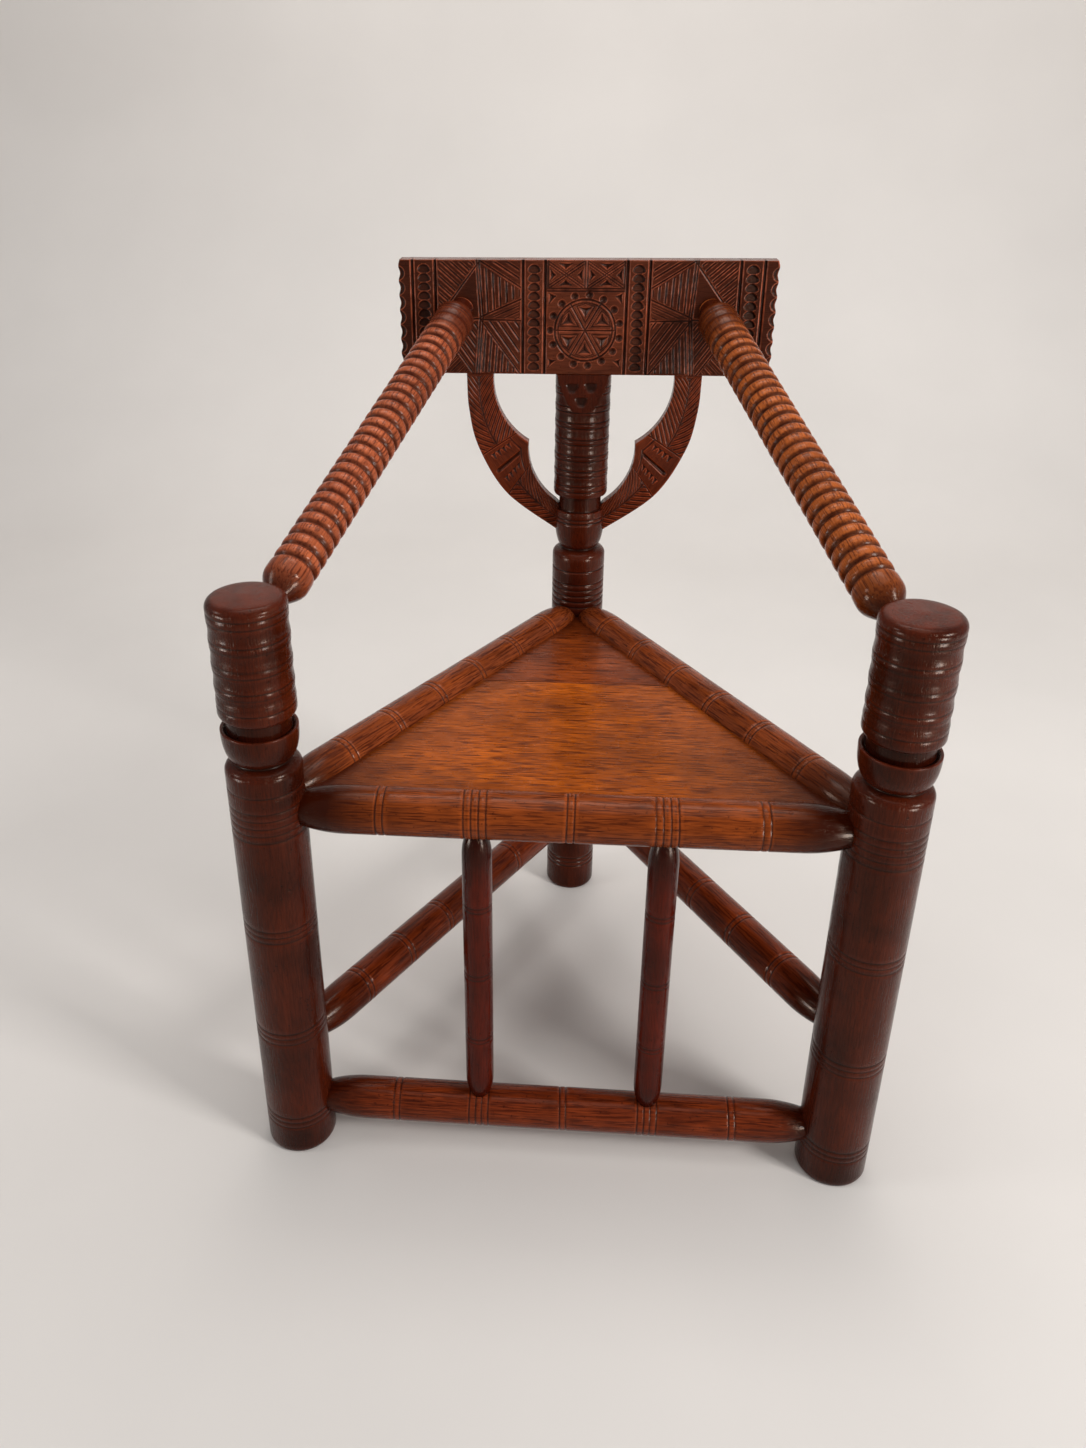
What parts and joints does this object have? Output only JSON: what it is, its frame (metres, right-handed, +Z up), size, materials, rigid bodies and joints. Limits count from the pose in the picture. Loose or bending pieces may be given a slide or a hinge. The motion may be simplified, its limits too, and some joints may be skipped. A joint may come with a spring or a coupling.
{
  "type": "corner armchair",
  "caption": "Triangular turned wooden armchair: round posts, ringed arms rising to a carved crest board, curved braces, round stretchers and a plank seat.",
  "frame": {"origin": "centre of the chair's plan box on the floor", "axes": "+Z up, -Y towards the sitter's front, +X to the right in the picture"},
  "size_m": [0.665, 0.5515, 0.8895],
  "materials": {
    "wood_post": "waxed, worn satin",
    "wood_rail": "waxed, worn satin",
    "wood_seat": "waxed, worn satin",
    "wood_arm": "waxed, worn satin",
    "wood_carved": "waxed, worn satin",
    "wood_peg": "waxed, worn satin"
  },
  "bodies": {
    "root": {"front_post_left": "wood_post", "front_post_right": "wood_post", "back_post": "wood_post", "front_stretcher": "wood_post", "side_stretcher_left": "wood_post", "side_stretcher_right": "wood_post", "spindle_left": "wood_post", "spindle_right": "wood_post", "front_seat_rail": "wood_rail", "side_seat_rail_left": "wood_rail", "side_seat_rail_right": "wood_rail", "seat_board_front": "wood_seat", "seat_board_back": "wood_seat", "seat_tongue": "wood_seat", "arm_left": "wood_arm", "arm_right": "wood_arm", "crest_board": "wood_carved", "brace_left": "wood_carved", "brace_right": "wood_carved", "crest_pegs": "wood_peg", "brace_pegs": "wood_peg"}
  },
  "joints": []
}
